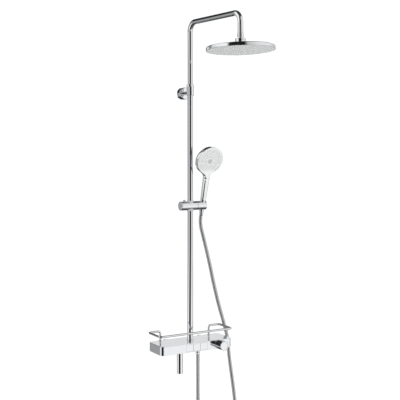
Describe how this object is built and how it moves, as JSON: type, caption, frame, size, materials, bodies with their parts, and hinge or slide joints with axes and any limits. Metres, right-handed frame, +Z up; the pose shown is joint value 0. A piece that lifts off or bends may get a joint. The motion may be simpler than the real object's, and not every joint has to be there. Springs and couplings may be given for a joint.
{
  "type": "rainfall shower column",
  "caption": "Wall-mounted rainfall shower column: thermostatic mixer with a railed shelf, telescopic riser with an overhead rain head, sliding handset on a hose and a short spout.",
  "frame": {"origin": "on the wall's surface, midway between the two wall inlets", "axes": "+X to the right, +Y into the wall, +Z up; the front faces -Y"},
  "size_m": [0.3734, 0.5679, 1.7076],
  "materials": {
    "chrome": "mirror-polished chrome plate",
    "hose_metal": "interlocked metal spiral, bright",
    "white_plastic": "smooth satin-gloss white",
    "grey_plastic": "fine satin grey",
    "black_plastic": "matt black",
    "soft_silicone": "matt light grey silicone",
    "black_rubber": "matt black",
    "brass": "machined",
    "steel": "machined"
  },
  "bodies": {
    "column": {"mixer_casing": "chrome", "base_cover": "black_plastic", "cover_screws": "steel", "shelf_plate": "chrome", "guard_rail": "chrome", "rail_nuts": "steel", "wall_unions": "chrome", "union_nuts": "brass", "filter_gaskets": "black_rubber", "wall_flanges": "chrome", "check_valves": "grey_plastic", "valve_manifold": "brass", "outlet_valves": "grey_plastic", "thermostat_cartridge": "brass", "key_springs": "steel", "spout_tube": "chrome", "spout_aerator": "grey_plastic", "hose_nipple": "brass", "hose_nut": "chrome", "lower_riser": "chrome", "riser_base_ring": "chrome", "wall_bracket": "chrome", "bracket_rosette": "chrome", "bracket_screws": "steel", "clamp_collar": "chrome", "hose_loop": "hose_metal", "hose_run": "hose_metal"},
    "mast_carrier": {"seal_carrier": "brass", "carrier_seals": "black_rubber"},
    "mast": {"mast_tube": "chrome", "arm_end_nut": "chrome", "ball_stud": "brass"},
    "ball_ring": {"ball_seat": "grey_plastic"},
    "rain_head": {"head_hub": "chrome", "hub_cap": "chrome", "rain_head_shell": "chrome", "rain_head_face": "white_plastic", "rain_nozzle_mat": "soft_silicone"},
    "knob": {"temperature_knob": "chrome", "knob_cap": "chrome", "stop_spring": "steel"},
    "knob_stop": {"stop_button": "chrome"},
    "key_head": {"head_key": "chrome"},
    "key_hand": {"hand_key": "chrome"},
    "key_spout": {"spout_key": "chrome"},
    "slider": {"slider_body": "chrome", "slider_liner": "grey_plastic", "slider_cap": "chrome", "lock_spring": "steel", "hose_bend": "hose_metal"},
    "slider_lock": {"lock_button": "chrome"},
    "holder": {"handset_holder": "chrome", "holder_axle": "steel", "hose_top": "hose_metal"},
    "handset": {"handset_shell": "chrome", "handle_inlay": "white_plastic", "shower_face": "white_plastic", "spray_disc": "grey_plastic", "hose_cone": "chrome"},
    "spray_push": {"spray_button": "grey_plastic"}
  },
  "joints": [
    {"name": "mast_height", "type": "slide", "parent": "column", "child": "mast_carrier", "axis": [0, 0, 1], "range_m": [-0.15, 0.12]},
    {"name": "arm_swivel", "type": "hinge", "parent": "mast_carrier", "child": "mast", "pos_m": [0, -0.062, 0.725], "axis": [0, 0, 1], "range_deg": [-60, 60]},
    {"name": "head_tilt_side", "type": "hinge", "parent": "mast", "child": "ball_ring", "pos_m": [0, -0.412, 1.122], "axis": [0, 1, 0], "range_deg": [-10, 10]},
    {"name": "head_tilt_front", "type": "hinge", "parent": "ball_ring", "child": "rain_head", "pos_m": [0, -0.412, 1.122], "axis": [1, 0, 0], "range_deg": [-10, 10]},
    {"name": "knob_turn", "type": "hinge", "parent": "column", "child": "knob", "pos_m": [0.096, -0.135, 0], "axis": [0, 1, 0], "range_deg": [-120, 60]},
    {"name": "knob_stop_press", "type": "slide", "parent": "knob", "child": "knob_stop", "axis": [0, 0, -1], "range_m": [0, 0.001], "stiffness_N_per_m": 600, "springref_m": -0.002, "deforming": ["stop_spring"]},
    {"name": "head_key_press", "type": "slide", "parent": "column", "child": "key_head", "axis": [0, 1, 0], "range_m": [0, 0.003], "stiffness_N_per_m": 700, "springref_m": -0.002, "deforming": ["key_springs"]},
    {"name": "hand_key_press", "type": "slide", "parent": "column", "child": "key_hand", "axis": [0, 1, 0], "range_m": [0, 0.003], "stiffness_N_per_m": 700, "springref_m": -0.002},
    {"name": "spout_key_press", "type": "slide", "parent": "column", "child": "key_spout", "axis": [0, 1, 0], "range_m": [0, 0.003], "stiffness_N_per_m": 700, "springref_m": -0.002},
    {"name": "slider_travel", "type": "slide", "parent": "column", "child": "slider", "axis": [0, 0, 1], "range_m": [-0.3, 0.35], "deforming": ["hose_run"]},
    {"name": "slider_lock_press", "type": "slide", "parent": "slider", "child": "slider_lock", "axis": [0, 0, -1], "range_m": [0, 0.0035], "stiffness_N_per_m": 600, "springref_m": -0.002, "deforming": ["lock_spring"]},
    {"name": "holder_tilt", "type": "hinge", "parent": "slider", "child": "holder", "pos_m": [0.053, -0.062, 0.529], "axis": [1, 0, 0], "range_deg": [-4, 40], "deforming": ["hose_bend"]},
    {"name": "handset_lift", "type": "slide", "parent": "holder", "child": "handset", "axis": [0, -0.2672, 0.9636], "range_m": [0, 0.09], "deforming": ["hose_top"]},
    {"name": "spray_button_press", "type": "slide", "parent": "handset", "child": "spray_push", "axis": [0, 0.9135, 0.4067], "range_m": [0, 0.002], "stiffness_N_per_m": 600, "springref_m": -0.002}
  ]
}
